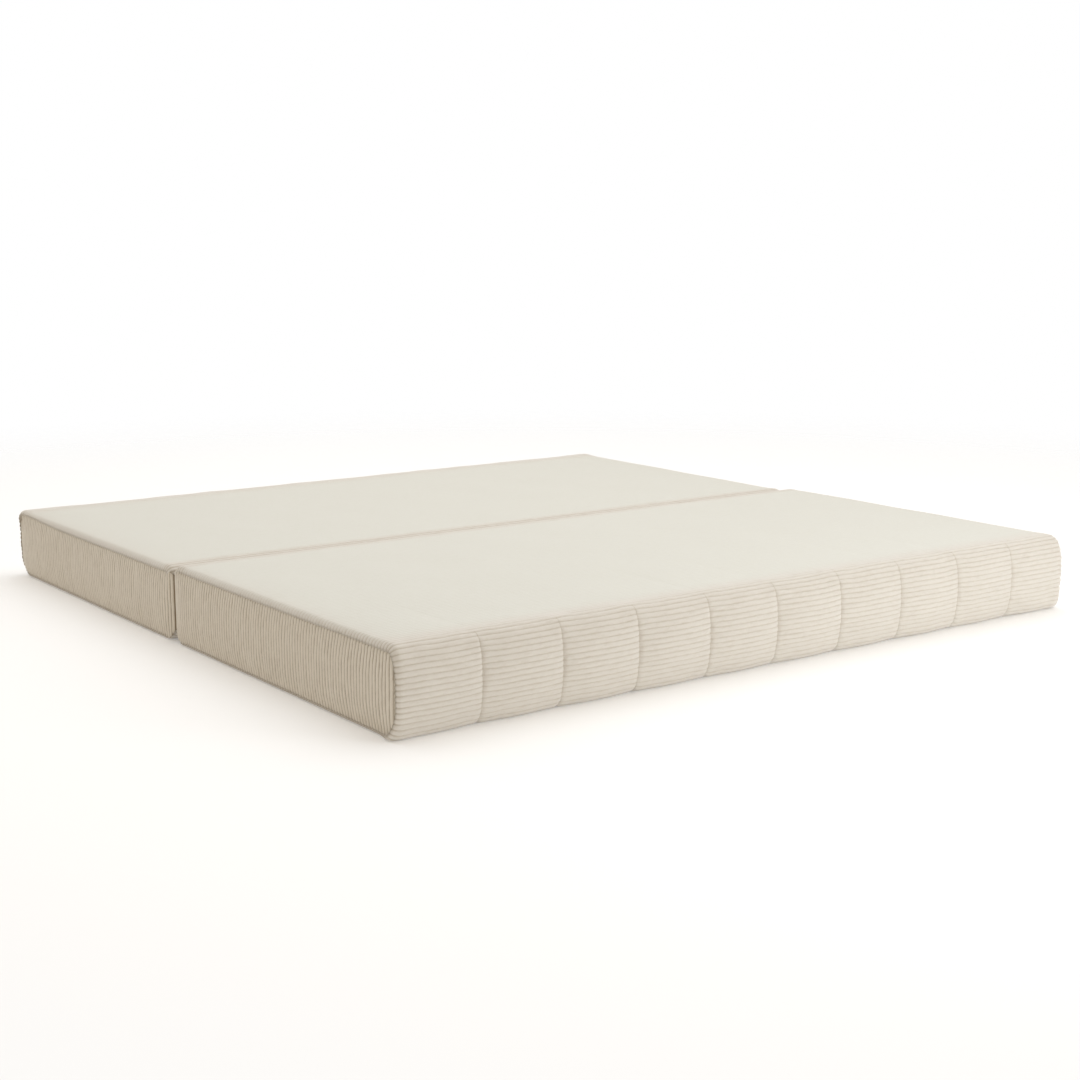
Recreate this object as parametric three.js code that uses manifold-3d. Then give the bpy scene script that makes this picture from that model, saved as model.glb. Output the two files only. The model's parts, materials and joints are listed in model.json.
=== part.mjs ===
// A bi-fold futon mattress: two covered foam panels joined by a fabric hinge along their top edges.
// Millimetres. X runs along the fold, the front panel lies towards -Y, +Z is up, and the floor is z = 0.
import * as THREE from 'three';
import { mergeVertices } from 'three/addons/utils/BufferGeometryUtils.js';
import Module from 'manifold-3d';

const wasm = await Module();
wasm.setup();

// Overall sizes
const LENGTH = 2000;
const FRONT_DEPTH = 1008;
const REAR_DEPTH = 1004;
const FRONT_HEIGHT = 192;
const REAR_HEIGHT = 182;
const FOLD_GAP = 12;

// Edges of a panel's cross-section: how far each rounding reaches along the face and down the side
const OUTER_TOP_REACH = 42;
const OUTER_LOW_REACH = 58;
const WIDEST_ABOVE_FLOOR = 96;
const FOLD_TOP_RADIUS = 30;
const FOLD_LOW_RADIUS = 38;
const CROWN_TENSION = 0.72;
const CIRCLE_TENSION = 0.5523;

// Layers, from the outside in
const COVER_WALL = 2.5;
const GUSSET_WALL = 2.5;
const BINDING_THICK = 1.6;
const BINDING_WIDTH = 12;
const LINER_WALL = 1.2;
const LINER_SLIT = 1200;
const LINER_SLIT_HEIGHT = 3;
const END_SLACK = 10;
const TOP_WADDING = 20;
const COMFORT_FOAM = 45;
const BASE_WADDING = 18;

// Clearances between neighbours
const TOUCH_GAP = 0.3;
const LAYER_GAP = 0.4;

// Stitched channel seams down the front face
const CHANNEL_COUNT = 10;
const GROOVE_WIDTH = 4;
const GROOVE_DEPTH = 1.5;
const GROOVE_TOP_DROP = 12;
const GROOVE_FLOOR_CLEAR = 10;
const THREAD_THICK = 0.8;
const THREAD_WIDTH = 1.6;

// Fabric hinge between the panels
const HINGE_EDGE_REACH = 20;
const LEAF_THICK = 2;
const LEAF_DROP = 6;
const HINGE_THREAD_INSET = 2.4;

// Zips: the front one is in the face at the fold, the rear one in the back face
const ZIP_LENGTH = 1700;
const ROW_GAP = 1.4;
const COIL_RADIUS = 1.5;
const TAPE_HEIGHT = 13;
const TAPE_THICK = 1;
const STOP_LENGTH = 4;
const STOP_THICK = 1.1;
const SLIDER_LENGTH = 12;
const SLIDER_HEIGHT = 9;
const PLATE_THICK = 1.1;
const NECK_LENGTH = 3;
const NECK_SETBACK = 1;
const STUD_RADIUS = 1.4;
const STUD_CAP_RADIUS = 2.8;
const STUD_CAP_THICK = 0.75;
const PULL_LENGTH = 30;
const PULL_WIDTH = 7;
const PULL_THICK = 1;
const PULL_BORE_CLEAR = 0.4;
const SLIDER_END_CLEAR = 1;

// Fineness of curves
const SECTION_STEPS = 9;
const SMALL_STEPS = 5;
const ROUND_SIDES = 20;

const COVER_CREAM = 0xddd6c4;
const THREAD_CREAM = 0xc9bfa6;
const LINER_WHITE = 0xf1efe9;
const WADDING_WHITE = 0xf5f3ee;
const SOFT_FOAM = 0xe9dcae;
const FIRM_FOAM = 0xc8d3d8;
const TAPE_CREAM = 0xcfc5ae;
const ZIP_METAL = 0x9b9588;

const frontPanel = { name: 'front', side: -1, depth: FRONT_DEPTH, height: FRONT_HEIGHT };
const rearPanel = { name: 'rear', side: 1, depth: REAR_DEPTH, height: REAR_HEIGHT };
frontPanel.zipFace = -FOLD_GAP / 2;
rearPanel.zipFace = FOLD_GAP / 2 + REAR_DEPTH;

// The tapes lie in the middle of the cover's wall, and the liner clears the slider's inner plate.
const TAPE_SETBACK = COVER_WALL / 2;
const SLIDER_DEPTH = TAPE_SETBACK + COIL_RADIUS + TOUCH_GAP + PLATE_THICK;
const BINDING_DEPTH = COVER_WALL + LAYER_GAP + BINDING_THICK;
const LINER_INSET = Math.max(BINDING_DEPTH, SLIDER_DEPTH) + LAYER_GAP;
const CORE_INSET = LINER_INSET + LINER_WALL + LAYER_GAP;
const LINER_END = LENGTH / 2 - GUSSET_WALL - END_SLACK;
const CORE_END = LINER_END - LINER_WALL - LAYER_GAP;

const mattress = new THREE.Group();

function addNode(name, geometry, colour, roughness = 0.95, metalness = 0) {
  const material = new THREE.MeshStandardMaterial({ color: colour, roughness, metalness });
  const mesh = new THREE.Mesh(geometry, material);
  mesh.name = name;
  mattress.add(mesh);
}

function toSolid(geometry) {
  const bare = geometry.index ? geometry : geometry.clone();
  bare.deleteAttribute('normal');
  bare.deleteAttribute('uv');
  const merged = mergeVertices(bare, 1e-4);
  const vertProperties = new Float32Array(merged.attributes.position.array);
  const triVerts = new Uint32Array(merged.index.array);
  return new wasm.Manifold(new wasm.Mesh({ numProp: 3, vertProperties, triVerts }));
}

function toGeometry(solid) {
  const mesh = solid.getMesh();
  const geometry = new THREE.BufferGeometry();
  geometry.setAttribute('position', new THREE.BufferAttribute(mesh.vertProperties, 3));
  geometry.setIndex(new THREE.BufferAttribute(mesh.triVerts, 1));
  return geometry;
}

function block(fromX, toX, fromY, toY, fromZ, toZ) {
  const geometry = new THREE.BoxGeometry(toX - fromX, toY - fromY, toZ - fromZ);
  return geometry.translate((fromX + toX) / 2, (fromY + toY) / 2, (fromZ + toZ) / 2);
}

// Points of a loop in anticlockwise order: a mirrored section comes out the other way round.
function turnedLeft(points) {
  return THREE.ShapeUtils.isClockWise(points) ? points.reverse() : points;
}

// Extrudes a section along X. `place` turns a point of the section into world (y, z).
function alongX(shape, place, fromX, toX, steps) {
  const points = shape.extractPoints(steps);
  const placed = new THREE.Shape(turnedLeft(points.shape.map(place)));
  placed.holes = points.holes.map((hole) => new THREE.Path(turnedLeft(hole.map(place))));
  const geometry = new THREE.ExtrudeGeometry(placed, { depth: toX - fromX, bevelEnabled: false });
  const sectionToWorld = new THREE.Matrix4().makeBasis(
    new THREE.Vector3(0, 1, 0), new THREE.Vector3(0, 0, 1), new THREE.Vector3(1, 0, 0));
  return geometry.applyMatrix4(sectionToWorld).translate(fromX, 0, 0);
}

// Panel sections are drawn in (s, z), with s measured outwards from the fold's middle plane.
function panelAlongX(panel, shape, fromX, toX, steps = SECTION_STEPS) {
  return alongX(shape, (p) => new THREE.Vector2(panel.side * p.x, p.y), fromX, toX, steps);
}

function bendTo(path, corner, end, tension) {
  const start = path.currentPoint.clone();
  const first = start.clone().lerp(corner, tension);
  const second = end.clone().lerp(corner, tension);
  path.bezierCurveTo(first.x, first.y, second.x, second.y, end.x, end.y);
}

// The panel's outline, drawn in by `inset`: crowned outside face, flat face at the fold.
function panelOutline(panel, inset, path = new THREE.Shape()) {
  const near = FOLD_GAP / 2 + inset;
  const far = FOLD_GAP / 2 + panel.depth - inset;
  const low = inset;
  const high = panel.height - inset;
  const point = (s, z) => new THREE.Vector2(s, z);
  path.moveTo(near, low + FOLD_LOW_RADIUS - inset);
  bendTo(path, point(near, low), point(near + FOLD_LOW_RADIUS - inset, low), CIRCLE_TENSION);
  path.lineTo(far - OUTER_LOW_REACH + inset, low);
  bendTo(path, point(far, low), point(far, WIDEST_ABOVE_FLOOR), CROWN_TENSION);
  bendTo(path, point(far, high), point(far - OUTER_TOP_REACH + inset, high), CROWN_TENSION);
  path.lineTo(near + FOLD_TOP_RADIUS - inset, high);
  bendTo(path, point(near, high), point(near, high - FOLD_TOP_RADIUS + inset), CIRCLE_TENSION);
  path.closePath();
  return path;
}

function panelRing(panel, outerInset, innerInset) {
  const ring = panelOutline(panel, outerInset);
  ring.holes.push(panelOutline(panel, innerInset, new THREE.Path()));
  return ring;
}

// A strip that follows the crowned face between two insets, `width` wide along X.
function faceStrip(panel, x, outerInset, innerInset, width, lowZ, highZ) {
  const faceZone = OUTER_LOW_REACH + COVER_WALL;
  const ring = panelAlongX(panel, panelRing(panel, outerInset, innerInset), x - width / 2, x + width / 2);
  const outermost = FOLD_GAP / 2 + panel.depth;
  const ends = [outermost - faceZone, outermost + faceZone].map((s) => panel.side * s).sort((a, b) => a - b);
  const window = block(x - width, x + width, ends[0], ends[1], lowZ, highZ);
  return toSolid(ring).intersect(toSolid(window));
}

function channelSeams() {
  const pitch = LENGTH / CHANNEL_COUNT;
  return Array.from({ length: CHANNEL_COUNT - 1 }, (_, i) => (i + 1) * pitch - LENGTH / 2);
}

// The wrap is one length of fabric round top, outer face, underside and fold face.
function coverWrap(panel, seams) {
  const end = LENGTH / 2 - GUSSET_WALL - TOUCH_GAP;
  let wrap = toSolid(panelAlongX(panel, panelRing(panel, 0, COVER_WALL), -end, end));
  const slotHalfLength = ZIP_LENGTH / 2 + TOUCH_GAP;
  const slotHalfHeight = ROW_GAP / 2 + TAPE_HEIGHT + TOUCH_GAP;
  const slot = block(-slotHalfLength, slotHalfLength, panel.zipFace - 2 * COVER_WALL,
    panel.zipFace + 2 * COVER_WALL, WIDEST_ABOVE_FLOOR - slotHalfHeight, WIDEST_ABOVE_FLOOR + slotHalfHeight);
  wrap = wrap.subtract(toSolid(slot));
  for (const x of seams) {
    wrap = wrap.subtract(faceStrip(panel, x, -COVER_WALL, GROOVE_DEPTH, GROOVE_WIDTH,
      GROOVE_FLOOR_CLEAR, panel.height - GROOVE_TOP_DROP));
  }
  addNode(`${panel.name}_cover_wrap`, toGeometry(wrap), COVER_CREAM);
}

function channelThreads(panel, seams) {
  const outer = GROOVE_DEPTH - TOUCH_GAP - THREAD_THICK;
  seams.forEach((x, i) => {
    const thread = faceStrip(panel, x, outer, outer + THREAD_THICK, THREAD_WIDTH,
      GROOVE_FLOOR_CLEAR + TOUCH_GAP, panel.height - GROOVE_TOP_DROP - TOUCH_GAP);
    addNode(`${panel.name}_tack_thread_${i + 1}`, toGeometry(thread), THREAD_CREAM);
  });
}

// An end panel of cover fabric, and the binding tape inside its seam.
function gussetEnd(panel, label, side) {
  const faces = [LENGTH / 2 - GUSSET_WALL, LENGTH / 2].map((x) => side * x).sort((a, b) => a - b);
  addNode(`${panel.name}_${label}_gusset`, panelAlongX(panel, panelOutline(panel, 0), faces[0], faces[1]),
    COVER_CREAM);
  const inner = LENGTH / 2 - GUSSET_WALL - TOUCH_GAP;
  const band = [inner - BINDING_WIDTH, inner].map((x) => side * x).sort((a, b) => a - b);
  const bindingInset = COVER_WALL + LAYER_GAP;
  const ring = panelRing(panel, bindingInset, bindingInset + BINDING_THICK);
  addNode(`${panel.name}_${label}_seam_binding`, panelAlongX(panel, ring, band[0], band[1]), TAPE_CREAM);
}

// A thin bag round the filling, with a slit at the fold side that the filling goes in by.
function innerLiner(panel) {
  const outside = toSolid(panelAlongX(panel, panelOutline(panel, LINER_INSET), -LINER_END, LINER_END));
  const cavityEnd = LINER_END - LINER_WALL;
  const cavity = panelAlongX(panel, panelOutline(panel, LINER_INSET + LINER_WALL), -cavityEnd, cavityEnd);
  const foldSide = panel.side * (FOLD_GAP / 2 + LINER_INSET);
  const slit = block(-LINER_SLIT / 2, LINER_SLIT / 2, foldSide - 2 * LINER_WALL, foldSide + 2 * LINER_WALL,
    WIDEST_ABOVE_FLOOR - LINER_SLIT_HEIGHT / 2, WIDEST_ABOVE_FLOOR + LINER_SLIT_HEIGHT / 2);
  const liner = outside.subtract(toSolid(cavity)).subtract(toSolid(slit));
  addNode(`${panel.name}_inner_liner`, toGeometry(liner), LINER_WHITE);
}

// The filling is one rounded core, cut into its layers.
function filling(panel) {
  const core = toSolid(panelAlongX(panel, panelOutline(panel, CORE_INSET), -CORE_END, CORE_END));
  const bottom = CORE_INSET;
  const top = panel.height - CORE_INSET;
  const layers = [
    ['base_wadding', bottom, bottom + BASE_WADDING, WADDING_WHITE],
    ['support_foam', bottom + BASE_WADDING, top - TOP_WADDING - COMFORT_FOAM, FIRM_FOAM],
    ['comfort_foam', top - TOP_WADDING - COMFORT_FOAM, top - TOP_WADDING, SOFT_FOAM],
    ['top_wadding', top - TOP_WADDING, top, WADDING_WHITE],
  ];
  const reach = FOLD_GAP + panel.depth;
  for (const [name, from, to, colour] of layers) {
    const slab = block(-LENGTH, LENGTH, -reach, reach, from + TOUCH_GAP / 2, to - TOUCH_GAP / 2);
    addNode(`${panel.name}_${name}`, toGeometry(core.intersect(toSolid(slab))), colour);
  }
}

// One half of the hinge strip: over the top rounding, down the groove and across to the middle plane.
function hingeLeaf(panel) {
  const centreS = FOLD_GAP / 2 + FOLD_TOP_RADIUS;
  const centreZ = panel.height - FOLD_TOP_RADIUS;
  const under = FOLD_TOP_RADIUS + TOUCH_GAP;
  const over = under + LEAF_THICK;
  const edgeAngle = Math.PI - Math.acos((centreS - HINGE_EDGE_REACH) / under);
  const bendZ = centreZ - LEAF_DROP;
  const leaf = new THREE.Shape();
  leaf.absarc(centreS, centreZ, over, edgeAngle, Math.PI, false);
  leaf.absarc(TOUCH_GAP, bendZ, centreS - over - TOUCH_GAP, 0, -Math.PI / 2, true);
  leaf.absarc(TOUCH_GAP, bendZ, centreS - under - TOUCH_GAP, -Math.PI / 2, 0, false);
  leaf.absarc(centreS, centreZ, under, Math.PI, edgeAngle, true);
  leaf.closePath();
  const end = LENGTH / 2 - GUSSET_WALL;
  addNode(`${panel.name}_hinge_leaf`, panelAlongX(panel, leaf, -end, end), COVER_CREAM);

  const threadLow = over + TOUCH_GAP;
  const threadFrom = edgeAngle + HINGE_THREAD_INSET / over;
  const threadTo = threadFrom + THREAD_WIDTH / over;
  const seam = new THREE.Shape();
  seam.absarc(centreS, centreZ, threadLow + THREAD_THICK, threadFrom, threadTo, false);
  seam.absarc(centreS, centreZ, threadLow, threadTo, threadFrom, true);
  seam.closePath();
  addNode(`${panel.name}_hinge_seam`, panelAlongX(panel, seam, -end, end, SMALL_STEPS), THREAD_CREAM);
}

// Zip sections are drawn in (u, v): u outwards from the cover's face, v up from the zip's middle line.
function zipAlongX(panel, shape, fromX, toX) {
  const place = (p) => new THREE.Vector2(panel.zipFace + p.x, WIDEST_ABOVE_FLOOR + p.y);
  return alongX(shape, place, fromX, toX, SMALL_STEPS);
}

function zipTape(panel, label, up) {
  const beadV = ROW_GAP / 2 + COIL_RADIUS;
  const shoulder = Math.sqrt(COIL_RADIUS ** 2 - (TAPE_THICK / 2) ** 2);
  const tilt = Math.atan2(shoulder, TAPE_THICK / 2);
  const edgeV = ROW_GAP / 2 + TAPE_HEIGHT;
  const tape = new THREE.Shape();
  tape.moveTo(TAPE_THICK / 2 - TAPE_SETBACK, up * edgeV);
  tape.absarc(-TAPE_SETBACK, up * beadV, COIL_RADIUS, up * tilt, up * (Math.PI - tilt), up > 0);
  tape.lineTo(-TAPE_THICK / 2 - TAPE_SETBACK, up * edgeV);
  tape.closePath();
  addNode(`${panel.name}_zip_${label}_tape`, zipAlongX(panel, tape, -ZIP_LENGTH / 2, ZIP_LENGTH / 2),
    TAPE_CREAM, 0.8);
}

function coilFront() {
  return COIL_RADIUS - TAPE_SETBACK + TOUCH_GAP;
}

function zipStop(panel, label, side) {
  const reach = ROW_GAP / 2 + 2 * COIL_RADIUS;
  const ends = [ZIP_LENGTH / 2 - STOP_LENGTH, ZIP_LENGTH / 2].map((x) => side * x).sort((a, b) => a - b);
  const stop = block(ends[0], ends[1], panel.zipFace + coilFront(), panel.zipFace + coilFront() + STOP_THICK,
    WIDEST_ABOVE_FLOOR - reach, WIDEST_ABOVE_FLOOR + reach);
  addNode(`${panel.name}_zip_${label}_stop`, stop, ZIP_METAL, 0.4, 0.8);
}

// A flat plate drawn in (x, v), lying parallel to the cover's face between two distances out from it.
function faceParallel(panel, shape, fromU, toU, steps = SMALL_STEPS) {
  const options = { depth: toU - fromU, bevelEnabled: false, curveSegments: steps };
  const plate = new THREE.ExtrudeGeometry(shape, options);
  return plate.rotateX(Math.PI / 2).translate(0, panel.zipFace + toU, WIDEST_ABOVE_FLOOR);
}

function disc(panel, x, radius, fromU, toU) {
  const round = new THREE.CylinderGeometry(radius, radius, toU - fromU, ROUND_SIDES);
  return round.translate(x, panel.zipFace + (fromU + toU) / 2, WIDEST_ABOVE_FLOOR);
}

function sliderPlate(x) {
  const plate = new THREE.Shape();
  const halfLength = SLIDER_LENGTH / 2;
  const halfHeight = SLIDER_HEIGHT / 2;
  plate.moveTo(x - halfLength, -halfHeight / 2);
  plate.quadraticCurveTo(x - halfLength, -halfHeight, x, -halfHeight);
  plate.quadraticCurveTo(x + halfLength, -halfHeight, x + halfLength, 0);
  plate.quadraticCurveTo(x + halfLength, halfHeight, x, halfHeight);
  plate.quadraticCurveTo(x - halfLength, halfHeight, x - halfLength, halfHeight / 2);
  plate.closePath();
  return plate;
}

// The slider rests at the closed end of the zip, with its pull hanging from a capped stud.
function zipSlider(panel) {
  const x = ZIP_LENGTH / 2 - STOP_LENGTH - SLIDER_END_CLEAR - SLIDER_LENGTH / 2;
  const coilBack = -TAPE_SETBACK - COIL_RADIUS - TOUCH_GAP;
  const outerFace = coilFront() + PLATE_THICK;
  const pullFrom = outerFace + TOUCH_GAP;
  const pullTo = pullFrom + PULL_THICK;
  const capFrom = pullTo + TOUCH_GAP;
  const neckHalf = ROW_GAP / 2 - TOUCH_GAP;
  const neckEnd = x + SLIDER_LENGTH / 2 - NECK_SETBACK;
  const neck = block(neckEnd - NECK_LENGTH, neckEnd,
    panel.zipFace + coilBack - PLATE_THICK / 2, panel.zipFace + outerFace - PLATE_THICK / 2,
    WIDEST_ABOVE_FLOOR - neckHalf, WIDEST_ABOVE_FLOOR + neckHalf);
  const slider = toSolid(faceParallel(panel, sliderPlate(x), coilFront(), outerFace))
    .add(toSolid(faceParallel(panel, sliderPlate(x), coilBack - PLATE_THICK, coilBack)))
    .add(toSolid(neck))
    .add(toSolid(disc(panel, x, STUD_RADIUS, outerFace - PLATE_THICK / 2, capFrom + STUD_CAP_THICK / 2)))
    .add(toSolid(disc(panel, x, STUD_CAP_RADIUS, capFrom, capFrom + STUD_CAP_THICK)));
  addNode(`${panel.name}_zip_slider`, toGeometry(slider), ZIP_METAL, 0.35, 0.9);

  const eye = STUD_RADIUS + PULL_BORE_CLEAR;
  const half = PULL_WIDTH / 2;
  const pull = new THREE.Shape();
  pull.absarc(x, 0, half, 0, Math.PI, false);
  pull.lineTo(x - half, -PULL_LENGTH + half);
  pull.absarc(x, -PULL_LENGTH + half, half, Math.PI, 2 * Math.PI, false);
  pull.closePath();
  pull.holes.push(new THREE.Path().absarc(x, 0, eye, 0, 2 * Math.PI, true));
  addNode(`${panel.name}_zip_pull`, faceParallel(panel, pull, pullFrom, pullTo, ROUND_SIDES / 2), ZIP_METAL,
    0.35, 0.9);
}

function zip(panel) {
  zipTape(panel, 'upper', 1);
  zipTape(panel, 'lower', -1);
  zipStop(panel, 'left', -1);
  zipStop(panel, 'right', 1);
  zipSlider(panel);
}

for (const panel of [frontPanel, rearPanel]) {
  const seams = panel === frontPanel ? channelSeams() : [];
  coverWrap(panel, seams);
  channelThreads(panel, seams);
  gussetEnd(panel, 'left', -1);
  gussetEnd(panel, 'right', 1);
  innerLiner(panel);
  filling(panel);
  hingeLeaf(panel);
  zip(panel);
}

export default mattress;
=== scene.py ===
import json
import math
import bmesh
import bpy
import numpy as np
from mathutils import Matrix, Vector

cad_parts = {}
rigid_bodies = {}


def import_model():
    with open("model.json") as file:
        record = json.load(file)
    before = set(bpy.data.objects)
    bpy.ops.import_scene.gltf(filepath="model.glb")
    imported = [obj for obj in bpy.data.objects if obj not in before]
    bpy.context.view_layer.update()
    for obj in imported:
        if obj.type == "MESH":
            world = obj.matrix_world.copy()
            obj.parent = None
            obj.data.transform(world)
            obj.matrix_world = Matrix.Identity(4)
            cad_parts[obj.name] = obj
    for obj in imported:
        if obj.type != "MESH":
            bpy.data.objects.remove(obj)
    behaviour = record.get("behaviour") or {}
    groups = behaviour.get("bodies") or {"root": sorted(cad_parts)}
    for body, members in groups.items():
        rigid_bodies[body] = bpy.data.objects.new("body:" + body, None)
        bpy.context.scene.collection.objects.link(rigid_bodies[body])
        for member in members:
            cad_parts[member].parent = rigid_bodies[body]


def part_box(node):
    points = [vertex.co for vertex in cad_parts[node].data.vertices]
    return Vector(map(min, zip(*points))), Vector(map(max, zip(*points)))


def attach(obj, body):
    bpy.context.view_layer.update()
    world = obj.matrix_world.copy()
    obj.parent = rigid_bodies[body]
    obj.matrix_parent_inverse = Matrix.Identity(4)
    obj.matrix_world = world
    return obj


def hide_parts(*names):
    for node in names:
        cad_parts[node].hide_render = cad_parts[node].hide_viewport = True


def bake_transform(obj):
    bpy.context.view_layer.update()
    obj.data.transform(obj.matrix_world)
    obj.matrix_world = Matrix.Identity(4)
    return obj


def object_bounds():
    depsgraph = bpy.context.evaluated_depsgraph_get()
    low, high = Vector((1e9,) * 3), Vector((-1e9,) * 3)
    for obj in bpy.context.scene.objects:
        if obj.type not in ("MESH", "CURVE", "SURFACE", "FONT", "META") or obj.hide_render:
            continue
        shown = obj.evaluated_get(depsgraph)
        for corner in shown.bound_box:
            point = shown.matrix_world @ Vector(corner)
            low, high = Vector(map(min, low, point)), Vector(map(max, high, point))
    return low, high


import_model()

cadLow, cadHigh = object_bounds()
print("frame loaded")

# Metres throughout. X runs along the fold, the stitched front edge faces -Y, the floor is z = 0.
scene = bpy.context.scene
scene.view_settings.view_transform = "Standard"
halfLength = (cadHigh.x - cadLow.x) / 2


def panelSizes(name, side):
    low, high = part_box(name + "_cover_wrap")
    near, far = sorted((abs(low.y), abs(high.y)))
    return {"name": name, "side": side, "near": near, "far": far, "high": high.z, "body": name + "_panel"}


frontPanel = panelSizes("front", -1)
rearPanel = panelSizes("rear", 1)
panels = (frontPanel, rearPanel)

section = {  # the roundings of a panel's cross-section, as the CAD covers have them
    "outerTopReach": 0.042,
    "outerLowReach": 0.058,
    "widest": 0.096,
    "foldTopRadius": 0.030,
    "foldLowRadius": 0.038,
    "crownTension": 0.72,
    "circleTension": 0.5523,
    "curvePoints": 26,
    "fineness": 0.001,
    "normalSpan": 3,
}

corduroy = {
    "waleWidth": 0.0117,
    "waleHeight": 0.0020,
    "waleRoundness": 2.6,
    "sunkShare": 0.62,  # how much of a wale lies under the nominal surface
    "topHeight": 0.38,  # the wales on top are pressed down to this share
    "underHeight": 0.0014,
    "foldRise": 0.3,  # they stand taller on the face in the fold
    "waver": 0.0006,
    "waverScale": 0.16,
    "fineShares": (0, 0.12, 0.30, 0.50, 0.70, 0.88),  # where the mesh's rows cross a wale
    "middlingShares": (0, 0.15, 0.38, 0.62, 0.85),
    "coarseShares": (0, 0.2, 0.8),
}

channelSeams = {
    "places": [-0.8 + 0.2 * i for i in range(9)],
    "lowFade": (-0.004, 0.016),
    "topFade": (-0.030, -0.006),
    "shallowFade": (-0.06, -0.02),
    "shallowShare": 0.6,
    "heldWidth": 0.0049,
    "pinchDepth": 0.0019,
    "pinchWidth": 0.0032,
    "shoulderDepth": 0.0019,
    "shoulderWidth": 0.028,
    "puckerHeight": 0.0010,
    "puckerReach": 0.015,
    "puckerPitch": 0.0047,
    "crowding": 0.0014,
    "crowdReach": 0.012,
    "crowdPitch": 0.0062,
    "flatShare": 0.7,  # the wales are flattened beside the thread
    "flatReach": 0.003,
    "columnSteps": (0.0015, 0.0035, 0.007, 0.012, 0.020, 0.032, 0.050, 0.075),
}

endSeams = {
    "left": {"roundWidth": 0.016, "topDepth": 0.018},
    "right": {"roundWidth": 0.022, "topDepth": 0.021},
    "sideDepth": 0.011,
    "foldDepth": 0.021,
    "lowDepth": 0.0055,
    "angles": (0, 14, 28, 42, 55, 68, 80),
    "hem": ((0.0015, 0.0022), (0.007, 0.0050)),  # how far in from the seam, and how deep
    "clearance": 0.004,
    "rearTightness": 0.5,
    "rearTightReach": 0.15,
    "fullReach": 0.04,
    "smoothShare": 0.55,
    "smoothReach": 0.3,
    "gatherReach": 0.035,
    "gatherHeight": 0.0010,
    "gatherPitch": 0.017,
    "gap": 0.0006,
    "rollDepth": 0.0028,
    "rollWidth": 0.0015,
}

zipOpening = {
    "halfLength": 0.85,
    "halfHeight": 0.0140,
    "tuck": 0.0022,
    "rim": 0.0009,
    "rowClearance": 0.0012,
    "columnClearance": 0.003,
    "rimColumn": 0.004,
}


spread = np.broadcast_to


def smooth(value, start, end):
    t = np.clip((value - start) / (end - start), 0, 1)
    return t * t * (3 - 2 * t)


def wander(a, b, scale, seed):  # a smooth random field, about -1 to 1
    draw = np.random.default_rng(seed)
    waves = 7
    total = 0
    for _ in range(waves):
        turn, lead = draw.uniform(0, 2 * math.pi, 2)
        pace = 2 * math.pi / scale * draw.uniform(0.6, 1.5)
        total = total + np.sin((a * math.cos(turn) + b * math.sin(turn)) * pace + lead)
    return total / math.sqrt(waves * 2)


def bendPoints(start, corner, end, tension):
    start, corner, end = (np.array(p, float) for p in (start, corner, end))
    first = start + (corner - start) * tension
    second = end + (corner - end) * tension
    t = np.linspace(0, 1, section["curvePoints"])[:, None]
    return start * (1 - t) ** 3 + 3 * first * t * (1 - t) ** 2 + 3 * second * t * t * (1 - t) + end * t ** 3


def runAt(panel, out, up):  # a place on a panel's cross-section, as the distance round it from underneath
    away = np.hypot(panel["out"] - out, panel["up"] - up)
    return float(panel["run"][np.argmin(away)])


def measureSection(panel):
    near, far, high = panel["near"], panel["far"], panel["high"]
    middle = ((near + far) / 2, 0)
    widest, crown, circle = section["widest"], section["crownTension"], section["circleTension"]
    lowStart, topStart = far - section["outerLowReach"], far - section["outerTopReach"]
    topRadius, lowRadius = section["foldTopRadius"], section["foldLowRadius"]
    points = np.concatenate([
        [middle],
        bendPoints((lowStart, 0), (far, 0), (far, widest), crown),
        bendPoints((far, widest), (far, high), (topStart, high), crown)[1:],
        bendPoints((near + topRadius, high), (near, high), (near, high - topRadius), circle),
        bendPoints((near, lowRadius), (near, 0), (near + lowRadius, 0), circle),
        [middle],
    ])
    run = np.concatenate([[0], np.cumsum(np.hypot(*np.diff(points, axis=0).T))])
    around = np.linspace(0, run[-1], round(run[-1] / section["fineness"]) + 1)
    out = np.interp(around, run, points[:, 0])
    up = np.interp(around, run, points[:, 1])
    span = section["normalSpan"]
    slopeOut = np.roll(out[:-1], -span) - np.roll(out[:-1], span)
    slopeUp = np.roll(up[:-1], -span) - np.roll(up[:-1], span)
    size = np.hypot(slopeOut, slopeUp)
    panel["girth"] = run[-1]
    panel["run"], panel["out"], panel["up"] = around, out, up
    panel["normalOut"] = np.append(slopeUp / size, (slopeUp / size)[0])
    panel["normalUp"] = np.append(-slopeOut / size, (-slopeOut / size)[0])
    panel["faceStart"] = runAt(panel, lowStart, 0)
    panel["faceMiddle"] = runAt(panel, far, widest)
    panel["topStart"] = runAt(panel, topStart, high)
    panel["topEnd"] = runAt(panel, near + topRadius, high)
    panel["foldMiddle"] = runAt(panel, near, widest)
    panel["foldEnd"] = runAt(panel, near + lowRadius, 0)
    panel["wale"] = panel["girth"] / round(panel["girth"] / corduroy["waleWidth"])
    panel["zipRun"] = panel["foldMiddle"] if panel is frontPanel else panel["faceMiddle"]
    # the back's end seams rise to the top edge at the outer corners
    tight = endSeams["rearTightness"] if panel is rearPanel else 0
    fromCorner = (around - panel["topStart"]) / endSeams["rearTightReach"]
    panel["endScale"] = 1 - tight * np.exp(-fromCorner ** 2)


def onSection(panel, run, name):
    return np.interp(np.mod(run, panel["girth"]), panel["run"], panel[name])


for panel in panels:
    measureSection(panel)


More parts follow.
